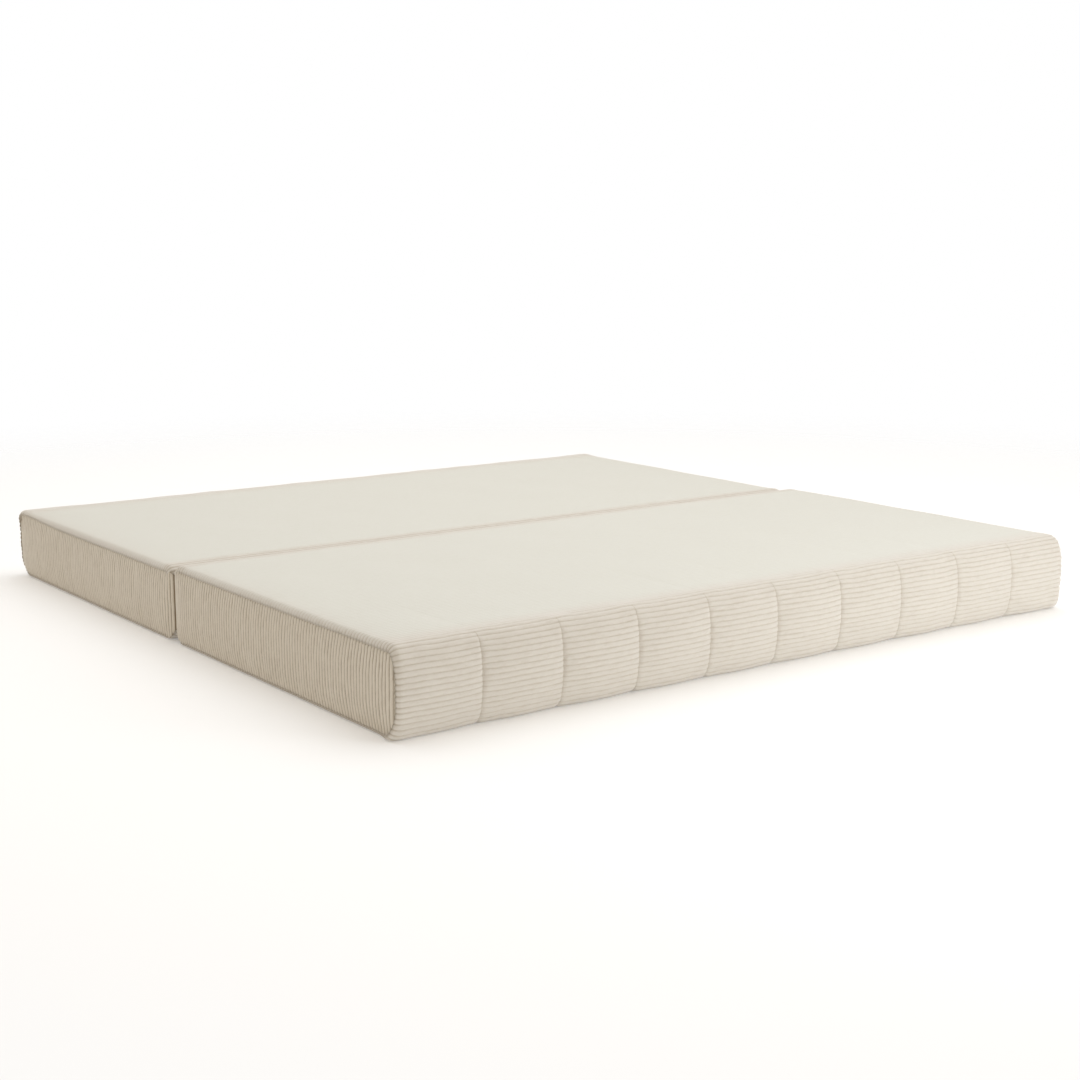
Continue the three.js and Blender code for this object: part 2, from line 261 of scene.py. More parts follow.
def gridObject(name, places, body, values=None, closed=False, drop=None, outwards=None):
    rows, columns = places.shape[:2]
    shape = bmesh.new()
    bmesh.ops.create_grid(shape, x_segments=columns - 1, y_segments=rows - 1, size=1)
    mesh = bpy.data.meshes.new(name)
    shape.to_mesh(mesh)
    flat = np.empty(len(mesh.vertices) * 3)
    mesh.vertices.foreach_get("co", flat)
    flat = flat.reshape(-1, 3)
    column = np.rint((flat[:, 0] + 1) / 2 * (columns - 1)).astype(int)
    row = np.rint((flat[:, 1] + 1) / 2 * (rows - 1)).astype(int)
    mesh.vertices.foreach_set("co", places[row, column].ravel())
    for label, value in (values or {}).items():
        layer = mesh.attributes.new(label, "FLOAT", "POINT")
        everywhere = spread(value, (rows, columns))[row, column]
        layer.data.foreach_set("value", everywhere.astype(np.float32))
    shape.free()
    shape = bmesh.new()
    shape.from_mesh(mesh)
    if drop is not None:
        shape.faces.ensure_lookup_table()
        gone = []
        for face in shape.faces:
            if all(drop[row[v.index], column[v.index]] for v in face.verts):
                gone.append(face)
        bmesh.ops.delete(shape, geom=gone, context="FACES")
    if closed:
        bmesh.ops.remove_doubles(shape, verts=shape.verts[:], dist=1e-6)
    if outwards is not None:
        leaning = sum((f.calc_center_median() - outwards).dot(f.normal) for f in list(shape.faces)[::37])
        if leaning < 0:
            bmesh.ops.reverse_faces(shape, faces=shape.faces[:])
    shape.to_mesh(mesh)
    shape.free()
    mesh.shade_smooth()
    piece = bpy.data.objects.new(name, mesh)
    scene.collection.objects.link(piece)
    if body:
        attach(piece, body)
    return piece


def panelMiddle(panel):
    return Vector((0, panel["side"] * (panel["near"] + panel["far"]) / 2, panel["high"] / 2))


filling = {
    "frames": 18,
    "pressure": 2.4,
    "quality": 6,
    "tension": 18,
    "shear": 6,
    "bending": 0.6,
    "airDamping": 4,
    "softening": 3,
    "softCentre": 0.4,
    "softSide": 0.15,
}


def puffOut(places, pinned, slack, outwards, cap):  # a patch of cloth, pinned in places and pushed out
    rows, columns = places.shape[:2]
    patch = gridObject("patch", places, None, {"pin": pinned.astype(float)}, outwards=outwards)
    held = patch.vertex_groups.new(name="held")
    pin = np.empty(len(patch.data.vertices), np.float32)
    patch.data.attributes["pin"].data.foreach_get("value", pin)
    held.add([int(i) for i in np.nonzero(pin > 0.5)[0]], 1, "REPLACE")
    cloth = patch.modifiers.new("Cloth", "CLOTH")
    cover = cloth.settings
    cover.quality = filling["quality"]
    cover.vertex_group_mass = "held"
    cover.tension_stiffness = filling["tension"]
    cover.compression_stiffness = filling["tension"]
    cover.shear_stiffness = filling["shear"]
    cover.bending_stiffness = filling["bending"]
    cover.air_damping = filling["airDamping"]
    cover.shrink_min = -slack
    cover.use_pressure = True
    cover.uniform_pressure_force = filling["pressure"]
    cover.effector_weights.gravity = 0
    cloth.collision_settings.use_collision = False
    cloth.point_cache.frame_start = 1
    cloth.point_cache.frame_end = filling["frames"]
    for step in range(1, filling["frames"] + 1):
        scene.frame_set(step)
    result = patch.evaluated_get(bpy.context.evaluated_depsgraph_get()).to_mesh()
    flat = np.empty(len(result.vertices) * 3)
    result.vertices.foreach_get("co", flat)
    rest = np.empty(len(result.vertices) * 3)
    patch.data.vertices.foreach_get("co", rest)
    moved = (flat - rest).reshape(rows, columns, 3)
    bpy.data.objects.remove(patch)
    scene.frame_set(1)
    far = np.linalg.norm(moved, axis=2, keepdims=True)
    moved = moved * np.minimum(1, cap / np.maximum(far, 1e-9))
    for _ in range(filling["softening"]):
        around = moved[:-2, 1:-1] + moved[2:, 1:-1] + moved[1:-1, :-2] + moved[1:-1, 2:]
        eased = moved[1:-1, 1:-1] * filling["softCentre"] + around * filling["softSide"]
        moved[1:-1, 1:-1] = np.where(pinned[1:-1, 1:-1, None], 0, eased)
    return moved


def between(values, across, along, wantedAcross, wantedAlong):  # bilinear look-up in a patch
    rowAt = np.clip(np.interp(wantedAcross, across, np.arange(len(across))), 0, len(across) - 1.0001)
    columnAt = np.clip(np.interp(wantedAlong, along, np.arange(len(along))), 0, len(along) - 1.0001)
    i, j = rowAt.astype(int), columnAt.astype(int)
    a, b = (rowAt - i)[..., None], (columnAt - j)[..., None]
    a, b = a * a * (3 - 2 * a), b * b * (3 - 2 * b)
    low = values[i, j] * (1 - b) + values[i, j + 1] * b
    high = values[i + 1, j] * (1 - b) + values[i + 1, j + 1] * b
    return low * (1 - a) + high * a


topShape = {
    "outerLift": {"front": 0.0, "rear": 0.005},
    "outerLiftAt": -0.03,
    "outerLiftReach": 0.03,
    "lowLift": {"front": 0.009, "rear": -0.004},
    "lowLiftAt": 0.035,
    "lowLiftReach": 0.028,
    "foldFall": {"front": 0.0030, "rear": 0.0004},
    "foldFallReach": 0.05,
    "endFall": 0.0018,
    "endFallReach": 0.06,
    "unevenness": 0.0008,
    "unevenScale": 0.33,
    "edgeWobble": 0.0012,
    "wobbleScale": 0.19,
    "creaseDepth": 0.0009,
    "creaseWidth": 0.014,
    "creaseLength": 0.45,
    "creaseDrift": 0.02,
    "foldEndSwell": 0.0028,
    "foldEndPull": 0.008,
    "foldLowFade": 0.04,
    "deepest": 0.0045,
    "proudest": 0.0012,
    "floorClear": 0.0002,
}


def roundDepth(normalOut, normalUp, topDepth):  # how far the cover curls in at its ends
    side = np.where(normalOut < 0, endSeams["foldDepth"], endSeams["sideDepth"])
    rise, fall = np.maximum(normalUp, 0), np.maximum(-normalUp, 0)
    return side * (1 - rise - fall) + topDepth * rise + endSeams["lowDepth"] * fall


def coverColumns(marks):  # each column's x, turn towards the end, tuck and depth of its rounding
    columns = []
    inner = list(marks)
    for side, end in (("left", -1), ("right", 1)):
        width, depth = endSeams[side]["roundWidth"], endSeams[side]["topDepth"]
        rim = halfLength - width
        inner = [x for x in inner if x * end < rim - endSeams["clearance"]]
        for angle in endSeams["angles"]:
            turn = math.radians(angle)
            columns.append((end * (rim + width * math.sin(turn)), turn, 0, depth))
        seam = columns[-1][0]
        for inwards, deep in endSeams["hem"]:
            columns.append((seam - end * inwards, turn, deep, depth))
    left, right = columns[:len(columns) // 2], columns[len(columns) // 2:]
    middle = [(x, 0, 0, endSeams["left"]["topDepth"]) for x in inner]
    return np.array(left[::-1] + middle + right).T


def fullness(panel, run):  # the roundings are fuller than the cut of the foam
    top, name = topShape, panel["name"]
    outer = (run - panel["topStart"] - top["outerLiftAt"]) / top["outerLiftReach"]
    low = (run - panel["faceStart"] - top["lowLiftAt"]) / top["lowLiftReach"]
    return top["outerLift"][name] * np.exp(-outer ** 2) + top["lowLift"][name] * np.exp(-low ** 2)


def foldFall(panel, run):  # the top slopes down towards the fold
    away = np.abs(panel["topEnd"] - run)
    return topShape["foldFall"][panel["name"]] * np.exp(-away / topShape["foldFallReach"])


def plainColumns(x):  # columns that lie away from the ends
    x = np.asarray(x, float)
    return np.array([x, x * 0, x * 0, x * 0 + endSeams["left"]["topDepth"]])


def nominalAt(panel, run, columns):  # the plain surface before the wales and seams shape it
    x, turn, tuck, topDepth = columns
    normalOut, normalUp = onSection(panel, run, "normalOut"), onSection(panel, run, "normalUp")
    topDepth = topDepth * onSection(panel, run, "endScale")
    depth = roundDepth(normalOut, normalUp, topDepth) * (1 - np.cos(turn)) + tuck
    out = onSection(panel, run, "out") - normalOut * depth
    up = onSection(panel, run, "up") - normalUp * depth
    places = np.stack([spread(x, run.shape), panel["side"] * out, up], axis=2)
    lean = np.cos(turn)
    sideways = spread(np.sin(turn) * np.sign(x), run.shape)
    normals = np.stack([sideways, panel["side"] * normalOut * lean, normalUp * lean], axis=2)
    return places, normals


def waleRows(panel):  # the distances round a panel at which its mesh has rows
    wale, girth, opening = panel["wale"], panel["girth"], zipOpening
    rows = []
    for k in range(round(girth / wale)):
        start = k * wale
        if panel["faceStart"] - 0.02 < start < panel["topStart"] + 0.06:
            shares = corduroy["fineShares"]
        elif start < panel["faceStart"] or start > panel["foldEnd"]:
            shares = corduroy["coarseShares"]
        else:
            shares = corduroy["middlingShares"]
        rows += [start + share * wale for share in shares]
    edge = opening["halfHeight"]
    rows = [row for row in rows if abs(abs(row - panel["zipRun"]) - edge) > opening["rowClearance"]]
    for level in (edge, edge + opening["rim"]):
        rows += [panel["zipRun"] - level, panel["zipRun"] + level]
    return np.array(sorted(rows + [girth]))


def faceShare(panel, run):  # 1 on the stitched face, 0 on top and underneath
    lowStart, lowEnd = channelSeams["lowFade"]
    topStart, topEnd = channelSeams["topFade"]
    rising = smooth(run, panel["faceStart"] + lowStart, panel["faceStart"] + lowEnd)
    return rising * (1 - smooth(run, panel["topStart"] + topStart, panel["topStart"] + topEnd))


def seamDistance(x):
    seams = np.array(channelSeams["places"])
    nearest = np.argmin(np.abs(x[:, None] - seams), axis=1)
    return x - seams[nearest], nearest


def waleProfile(share):
    return 1 - np.abs(2 * share - 1) ** corduroy["waleRoundness"]


facePuff = {
    "grid": 0.010,
    "below": 0.02,
    "above": 0.05,
    "topHeld": 0.02,
    "endMargin": 0.02,
    "zipMargin": 0.006,
    "slack": {"front": 0.010, "rear": 0.003},
    "most": 0.010,
}


def facePatch(panel):  # the outer face between its pinned channel seams, pushed out by the filling
    puff = facePuff
    seamed = panel is frontPanel
    run = np.arange(panel["faceStart"] - puff["below"], panel["topStart"] + puff["above"], puff["grid"])
    inner = halfLength - puff["endMargin"]
    marks = np.arange(-inner, inner + puff["grid"] / 10, puff["grid"])
    places, _ = nominalAt(panel, spread(run[:, None], (len(run), len(marks))), plainColumns(marks))
    pinned = np.zeros(places.shape[:2], bool)
    pinned[[0, -1], :] = True
    pinned[:, [0, -1]] = True
    if seamed:
        offset, _ = seamDistance(marks)
        held = faceShare(panel, run) > 0.4
        pinned |= held[:, None] & (np.abs(offset) < channelSeams["heldWidth"])[None, :]
    else:
        pinned |= (np.abs(run - panel["zipRun"]) < zipOpening["halfHeight"] + puff["zipMargin"])[:, None]
    pinned |= (run > panel["topStart"] + puff["topHeld"])[:, None]
    panel["puff"] = puffOut(places, pinned, puff["slack"][panel["name"]], panelMiddle(panel), puff["most"])
    panel["puffRun"], panel["puffX"] = run, marks


def topShare(panel, run):  # 1 on top of a panel
    rising = smooth(run, panel["topStart"] - 0.01, panel["topStart"] + 0.07)
    return rising * (1 - smooth(run, panel["topEnd"] - 0.03, panel["topEnd"]))


def foldShare(panel, run, start, end):  # 1 on the face in the fold
    rising = smooth(run, panel["topEnd"] + start, panel["topEnd"] + end)
    return rising * (1 - smooth(run, panel["foldEnd"] - topShape["foldLowFade"], panel["foldEnd"]))


def channelLift(panel, run, offset, which):  # seams draw the face in, with small puckers along them
    seams = channelSeams
    away = np.abs(offset)[None, :]
    shallowStart, shallowEnd = seams["shallowFade"]
    fromTop = run - panel["topStart"]
    fading = 1 - seams["shallowShare"] * smooth(fromTop, shallowStart, shallowEnd)
    pinch = seams["pinchDepth"] * np.exp(-(away / seams["pinchWidth"]) ** 1.5)
    shoulder = seams["shoulderDepth"] * np.exp(-away / seams["shoulderWidth"])
    ripple = np.sin(run / seams["puckerPitch"] + 1.7 * which[None, :] + (offset[None, :] > 0) * 1.3)
    pucker = ripple * np.exp(-away / seams["puckerReach"]) * (1 - np.exp(-(away / seams["flatReach"]) ** 2))
    return seams["puckerHeight"] * pucker - fading * (pinch + shoulder)


def topLift(panel, run, x, offset, which, onTop):  # the top slopes to its edges and has shallow creases
    top = topShape
    fromEnd = halfLength - np.abs(x)[None, :]
    lift = onTop * top["unevenness"] * wander(x[None, :], run, top["unevenScale"], 21)
    lift -= onTop * top["endFall"] * np.exp(-fromEnd / top["endFallReach"]) + foldFall(panel, run)
    if panel is frontPanel:
        back = (run - panel["topStart"]) / top["creaseLength"]
        across = (offset[None, :] + top["creaseDrift"] * back) / top["creaseWidth"]
        crease = np.exp(-across ** 2) * np.clip(1 - back, 0, 1)
        lift -= top["creaseDepth"] * crease * onTop * (0.5 + 0.5 * np.cos(which[None, :] * 1.9))
    return lift


def coverAt(panel, run, columns, turnedIn=False):  # the finished surface, its normals and its shades
    seamed = panel is frontPanel
    x = columns[0]
    ends, seams, top = endSeams, channelSeams, topShape
    share = np.mod(run / panel["wale"] + 1e-6, 1)
    face = faceShare(panel, run) * seamed
    offset, which = seamDistance(x)
    away = np.abs(offset)[None, :]
    fromEnd = halfLength - np.abs(x)[None, :]
    onTop = topShare(panel, run)
    fromFront = np.maximum(run - panel["topStart"], 0)
    # the ends' roundings are smoother further back
    ribbed = 1 - ends["smoothShare"] * onTop * (1 - np.exp(-fromFront / ends["smoothReach"]))
    nearEnd = np.exp(-fromEnd / ends["fullReach"]) * ribbed

    # the wales wander a little, and crowd together where a seam gathers them
    waver = corduroy["waver"] * wander(x[None, :], run, corduroy["waverScale"], 3)
    crowd = seams["crowding"] * np.exp(-away / seams["crowdReach"]) * face
    crowd = crowd * np.sin(run / seams["crowdPitch"] + 2.1 * which[None, :])
    places, normals = nominalAt(panel, run + waver + crowd, columns)
    along = spread(x, run.shape)
    places = places + between(panel["puff"], panel["puffRun"], panel["puffX"], run, along)

    inFold = foldShare(panel, run, -0.05, 0)
    pressed = (1 - corduroy["topHeight"]) * onTop * (1 - nearEnd)
    height = corduroy["waleHeight"] * (1 - pressed) * (1 + corduroy["foldRise"] * inFold)
    under = (run < panel["faceStart"] - 0.02) | (run > panel["foldEnd"] + 0.02)
    height = np.where(under, corduroy["underHeight"], height)
    height = height * (1 - seams["flatShare"] * np.exp(-(away / seams["flatReach"]) ** 2) * face)
    lift = height * (waleProfile(share) - corduroy["sunkShare"])
    lift += face * channelLift(panel, run, offset, which)

    # gathers beside the end seams
    beside = 1 - np.abs(onSection(panel, run, "normalUp"))
    gather = ends["gatherHeight"] * wander(run, x[None, :] * 0.15, ends["gatherPitch"], 11)
    lift += np.exp(-fromEnd / ends["gatherReach"]) * gather * (0.3 + 0.7 * beside)
    lift += topLift(panel, run, x, offset, which, onTop)

    # the roundings aren't quite straight, and the fold's ends meet
    lift += fullness(panel, run) * (1 - 0.45 * np.exp(-away / 0.03) * seamed)
    rounding = np.exp(-((run - panel["topStart"] + 0.02) / 0.04) ** 2)
    lift += top["edgeWobble"] * wander(x[None, :], run, top["wobbleScale"], 25) * rounding
    foldFace = foldShare(panel, run, 0.02, 0.05)
    swell = smooth(np.abs(x), 0.875, 0.93) - 1.6 * smooth(np.abs(x), 0.976, 0.984)
    lift += top["foldEndSwell"] * foldFace * swell[None, :]
    lift = np.maximum(lift, -top["deepest"])
    lift = np.where(turnedIn, -zipOpening["tuck"], lift)
    places = places + normals * lift[..., None]
    places[..., 2] = np.clip(places[..., 2], top["floorClear"], panel["high"] + top["proudest"])
    places[..., 0] -= np.sign(x) * top["foldEndPull"] * smooth(np.abs(x), 0.982, 0.999) * foldFace

    # painted shade in the grooves between the wales, deeper near the ends and in the fold, fainter on top
    # where the light grazes
    groove = (1 - waleProfile(share)) * (1 + 0.5 * np.exp(-fromEnd / 0.014) * ribbed)
    groove = groove * (1 - 0.7 * onTop * (1 - nearEnd)) * (1 + 0.5 * inFold)
    # painted shade along the channel seams and where the cover turns in at its end seams, stronger on the
    # sides than on top
    endTurnShade = smooth(columns[1], math.radians(62), math.radians(80))[None, :] * (0.45 + 0.55 * beside)
    seam = np.maximum(0.28 * np.exp(-away / 0.0013) * face, endTurnShade)
    # painted sheen on top: a mask for the paler, greyer tone of the top seen at a grazing angle, fading out
    # near the ends
    topSheen = onTop * (1 - np.exp(-fromEnd / 0.02))
    return places, normals, {"groove": groove, "seam": seam, "topSheen": topSheen}


def coverWrap(panel):
    facePatch(panel)
    if panel is frontPanel:
        steps = channelSeams["columnSteps"]
        offsets = [0, 0.1] + list(steps) + [-step for step in steps]
        marks = [seam + offset for seam in channelSeams["places"] for offset in offsets]
        marks += [-0.975, -0.965, -0.95, -0.93, -0.9, 0.93, 0.95, 0.965, 0.975]
    else:
        marks = list(np.linspace(-0.96, 0.96, 77)) + [-0.975, 0.975]
    edge = zipOpening["halfLength"]
    marks = [mark for mark in marks if abs(abs(mark) - edge) > zipOpening["columnClearance"]]
    for level in (edge, edge + zipOpening["rimColumn"]):
        marks += [-level, level]
    columns = coverColumns(sorted(marks))
    rows = waleRows(panel)
    run = spread(rows[:, None], (len(rows), columns.shape[1])).copy()
    fromZip = np.abs(rows - panel["zipRun"])[:, None]
    inLine = (np.abs(columns[0]) <= edge + 1e-6)[None, :]
    opening = inLine & (fromZip <= zipOpening["halfHeight"] + 1e-6)
    atEdge = (np.abs(np.abs(columns[0]) - edge) < 1e-6)[None, :]
    turnedIn = opening & (atEdge | (np.abs(fromZip - zipOpening["halfHeight"]) < 1e-6))
    places, _, values = coverAt(panel, run, columns, turnedIn)
    cover = gridObject(panel["name"] + "Cover", places, panel["body"], values,
                       closed=True, drop=opening, outwards=panelMiddle(panel))
    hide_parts(panel["name"] + "_cover_wrap")
    return cover


def seamLoop(panel, inset, side):  # the line where a cover meets its gussets, drawn in by inset
    normalOut, normalUp = panel["normalOut"], panel["normalUp"]
    last = math.radians(endSeams["angles"][-1])
    depth = roundDepth(normalOut, normalUp, endSeams[side]["topDepth"] * panel["endScale"])
    depth = depth * (1 - math.cos(last)) + inset - fullness(panel, panel["run"])
    depth = np.where(normalOut < 0, depth * np.abs(normalUp) ** 1.5 - gussetShape["proud"], depth)
    return panel["out"] - normalOut * depth, panel["up"] - normalUp * depth


gussetShape = {
    "proud": 0.0040,
    "cornerRadius": 0.017,  # it turns round the corner into the gap of the fold
    "setBack": 0.0032,
    "waleHeight": 0.0026,
    "slack": 0.008,
    "puff": {"left": 0.008, "right": 0.004},
    "sway": 0.0008,
    "creases": 0.0008,
    "hollows": 0.0016,
    "rowEdges": (0, 0.0012, 0.0026, 0.0045, 0.0075, 0.012, 0.018),
    "endColumns": (0, 0.0004, 0.001, 0.0018, 0.003, 0.0045),
    "endMargin": 0.006,
    "floorClear": 0.0004,
}


def gusset(panel, label, end):
    g = gussetShape
    out, up = seamLoop(panel, endSeams["gap"], label.lower())
    lower = up < section["widest"]
    order = np.argsort(out[lower], kind="stable")
    lowOut, lowUp = out[lower][order], up[lower][order]
    order = np.argsort(out[~lower], kind="stable")
    highOut, highUp = out[~lower][order], up[~lower][order]
    first, last = out.min() + 0.0003, out.max() - 0.0004
    loop = np.stack([out, up], axis=1)[::2]
    arc = g["cornerRadius"] * math.pi / 2

    def gussetPlaces(stations, shares):  # stations run from the fold corner, round it and to the outer face
        turn = np.minimum(stations / g["cornerRadius"], math.pi / 2)
        outs = first + g["cornerRadius"] * (1 - np.cos(turn)) + np.maximum(stations - arc, 0)
        low, high = np.interp(outs, lowOut, lowUp), np.interp(outs, highOut, highUp)
        ups = low[None, :] + (high - low)[None, :] * shares[:, None]
        across = spread(outs, ups.shape)
        flat = np.stack([across.ravel(), ups.ravel()], axis=1)
        parts = [part[:, None, :] - loop[None] for part in np.array_split(flat, 16)]
        nearest = np.concatenate([np.sqrt((part ** 2).sum(2).min(1)) for part in parts]).reshape(ups.shape)
        edgeways = np.maximum(np.minimum(ups - low[None, :], high[None, :] - ups), 0)
        nearest = np.where(stations[None, :] < arc * 1.5, np.minimum(edgeways, 0.05), nearest)
        return across, ups, nearest, turn[None, :]

    def placed(across, ups, turn, lift):
        deep = g["setBack"] + g["cornerRadius"] * (1 - np.sin(turn))
        x = spread(end * (halfLength - deep + lift * np.sin(turn)), ups.shape)
        return np.stack([x, panel["side"] * (across - lift * np.cos(turn)), ups], axis=2)

    length = arc + last - first - g["cornerRadius"]
    coarse, coarseShare = np.linspace(0, length, 104), np.linspace(0, 1, 20)
    across, ups, _, turn = gussetPlaces(coarse, coarseShare)
    pinned = np.zeros(ups.shape, bool)
    pinned[[0, -1], :] = True
    pinned[:, -1] = True
    pinned[:, coarse < arc * 0.8] = True
    start = placed(across, ups, turn, 0)
    moved = puffOut(start, pinned, g["slack"], panelMiddle(panel), g["puff"][label.lower()])

    wale = panel["wale"]
    count = math.ceil(length / wale) + 1
    stations = [(k + share) * wale for k in range(count) for share in corduroy["fineShares"]]
    stations = [station for station in stations if station < length - g["endMargin"]]
    stations = np.array(sorted(stations + list(length - np.array(g["endColumns"]))))
    edges = np.array(g["rowEdges"]) / (panel["high"] - 0.03)
    rowShares = np.concatenate([edges, np.linspace(edges[-1], 1 - edges[-1], 20)[1:-1], 1 - edges[::-1]])
    across, ups, nearest, turn = gussetPlaces(stations, rowShares)
    share = np.mod(stations / wale, 1)[None, :]
    fade = smooth(nearest, 0.0005, 0.006)
    height = g["waleHeight"] * (0.4 + 0.6 * fade)
    lift = height * (waleProfile(share) - corduroy["sunkShare"])
    lift -= endSeams["rollDepth"] * np.exp(-(nearest / endSeams["rollWidth"]) ** 1.2)
    lift += g["creases"] * np.exp(-nearest / 0.02) * wander(across, ups, 0.022, 41 + end) * fade
    hollow = g["hollows"] * wander(across, ups * 0.5, 0.45, 51 + end)
    lift += hollow * smooth(nearest, 0, 0.06) * np.sin(turn)
    sway = g["sway"] * wander(ups, across * 0.2, 0.12, 31 + end) * fade * np.sin(turn)
    places = placed(across + sway, ups, turn, lift)
    down, along = spread(rowShares[:, None], ups.shape), spread(stations, ups.shape)
    places = places + between(moved, coarseShare, coarse, down, along)
    places[..., 2] = np.maximum(places[..., 2], g["floorClear"])
    # painted shade in the grooves between the wales, deeper where the gusset turns into the gap of the
    # fold, and along the seam round its edge
    groove = (1 - waleProfile(share)) * (1 + 0.6 * np.cos(turn))
    values = {"groove": groove, "seam": np.exp(-nearest / 0.0016) * 0.9, "topSheen": 0.0}
    piece = gridObject(panel["name"] + label + "Gusset", places, panel["body"], values,
                       outwards=panelMiddle(panel))
    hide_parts(panel["name"] + "_" + label.lower() + "_gusset")
    return piece


hingeStrip = {
    "edgeReach": 0.0175,
    "leaveAngle": 40,
    "sag": -0.0008,
    "lift": 0.0010,
    "rowsPerWale": 6,
    "waleHeight": 0.0016,
    "endInset": 0.016,
    "endTuck": 0.0045,  # the strip's ends are turned under
    "endTuckReach": 0.0035,
    "endColumns": (0, 0.0008, 0.0018, 0.003, 0.005, 0.008),
    "seamDrop": 0.0016,
    "unevenness": 0.0012,
    "bend": 0.012,
}


def hingePath():  # the strip's cross-section, the distance along it and its number of wales
    h = hingeStrip
    r = section["foldTopRadius"]
    sides = []
    for panel in panels:
        centre = np.array([panel["near"] + r, panel["high"] - r])
        start = math.acos((centre[0] - h["edgeReach"]) / (r + h["lift"]))
        turns = np.linspace(start, math.radians(h["leaveAngle"]), 8)
        radius = r + h["lift"] - foldFall(panel, panel["topEnd"] + r * (math.pi / 2 - turns))
        arc = centre + radius[:, None] * np.stack([-np.cos(turns), np.sin(turns)], axis=1)
        arc[:, 0] *= panel["side"]
        sides.append(arc)
    frontArc, rearArc = sides
    a, b = frontArc[-1], rearArc[-1]
    bottom = np.array([0, (a[1] + b[1]) / 2 - h["sag"]])
    t = np.linspace(0, 1, 14)[1:, None]
    down = a * (1 - t) ** 2 + 2 * t * (1 - t) * np.array([a[0] * 0.55, bottom[1]]) + t * t * bottom
    climb = bottom * (1 - t) ** 2 + 2 * t * (1 - t) * np.array([b[0] * 0.55, bottom[1]]) + t * t * b
    path = np.concatenate([frontArc, down, climb, rearArc[::-1][1:]])
    run = np.concatenate([[0], np.cumsum(np.hypot(*np.diff(path, axis=0).T))])
    return path, run, max(3, round(run[-1] / corduroy["waleWidth"]))


def hingeAt(rows, x):  # places on the strip
    h = hingeStrip
    path, run, wales = hingePath()
    width = run[-1]
    ticks = np.linspace(0, width, 120)
    pathY, pathZ = np.interp(ticks, run, path[:, 0]), np.interp(ticks, run, path[:, 1])
    slopeY, slopeZ = np.gradient(pathY), np.gradient(pathZ)
    size = np.hypot(slopeY, slopeZ)
    y, z = np.interp(rows, ticks, pathY)[:, None], np.interp(rows, ticks, pathZ)[:, None]
    normalY = np.interp(rows, ticks, -slopeZ / size)[:, None]
    normalZ = np.interp(rows, ticks, slopeY / size)[:, None]
    profile = waleProfile(np.mod(rows / width * wales + 1e-6, 1))[:, None]
    middle = np.sin(math.pi * rows / width)[:, None]
    edge = np.exp(-np.minimum(rows, width - rows) / 0.0016)[:, None]
    lift = h["waleHeight"] * (profile - 0.4) * (1 - edge) - h["seamDrop"] * edge
    lift = lift + h["unevenness"] * wander(x[None, :], rows[:, None], 0.14, 61) * middle
    fromEnd = (halfLength - h["endInset"] - np.abs(x))[None, :]
    tuck = h["endTuck"] * np.exp(-fromEnd / h["endTuckReach"])
    across = spread(x, lift.shape)
    places = np.stack([across, y + normalY * lift, z + normalZ * lift - tuck], axis=2)
    normals = np.stack([spread(part, lift.shape) for part in (0.0, normalY, normalZ)], axis=2)
    # painted shade in the grooves between the wales and along the strip's stitched edges, where it dips
    # into the fold
    return places, normals, {"groove": 1 - profile, "seam": 0.7 * edge, "topSheen": 0.0}


def fabricHinge():
    h = hingeStrip
    _, run, wales = hingePath()
    width = float(run[-1])
    rows = np.linspace(0, width, wales * h["rowsPerWale"] + 1)
    ends = halfLength - h["endInset"]
    nearEnds = [side * (ends - c) for c in h["endColumns"] for side in (-1, 1)]
    x = np.array(sorted(nearEnds + list(np.linspace(-ends + 0.012, ends - 0.012, 159))))
    places, _, values = hingeAt(rows, x)
    strip = gridObject("hingeStrip", places, None, values, outwards=Vector((0, 0, 0)))
    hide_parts("front_hinge_leaf", "rear_hinge_leaf")
    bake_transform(strip)
    return strip


stitch = {
    "length": 0.0042,
    "pitch": 0.0055,
    "radius": 0.00045,
    "sides": 6,
    "profile": ((0, 0, -0.9), (0.08, 1, -0.3), (0.5, 1, 0.5), (0.92, 1, -0.3), (1, 0, -0.9)),
    "hingeInset": 0.0035,
    "endMargin": 0.02,
}


def stitchLines(name, starts, ends, normals, body, nodes):  # all the stitches of some seams, as one mesh
    along = ends - starts
    side = np.cross(along, normals)
    side /= np.linalg.norm(side, axis=1, keepdims=True)
    columns = []
    for share, swell, rise in stitch["profile"]:
        centre = starts + along * share + normals * (rise * stitch["radius"] * 1.4)
        ring = []
        for turn in np.linspace(0, 2 * math.pi, stitch["sides"] + 1):
            outwards = side * math.cos(turn) + normals * math.sin(turn)
            ring.append(centre + outwards * (stitch["radius"] * swell))
        columns.append(ring)
    places = np.array(columns).transpose(1, 2, 0, 3).reshape(stitch["sides"] + 1, -1, 3)
    places[..., 2] = np.maximum(places[..., 2], 0.0001)
    ringEnds = np.tile([True, False, False, False, True], len(starts))
    drop = spread(ringEnds, places.shape[:2])
    piece = gridObject(name, places, body, closed=True, drop=drop)
    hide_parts(*nodes)
    return piece


def channelStitches():
    runs = np.arange(frontPanel["faceStart"] - 0.002, frontPanel["topStart"] - 0.014, stitch["pitch"])
    columns = plainColumns(channelSeams["places"])
    shape = (len(runs), columns.shape[1])
    starts, normals, _ = coverAt(frontPanel, spread(runs[:, None], shape), columns)
    ends, _, _ = coverAt(frontPanel, spread(runs[:, None] + stitch["length"], shape), columns)
    nodes = [f"front_tack_thread_{i + 1}" for i in range(9)]
    return stitchLines("channelStitches", *(a.reshape(-1, 3) for a in (starts, ends, normals)),
                       "front_panel", nodes)


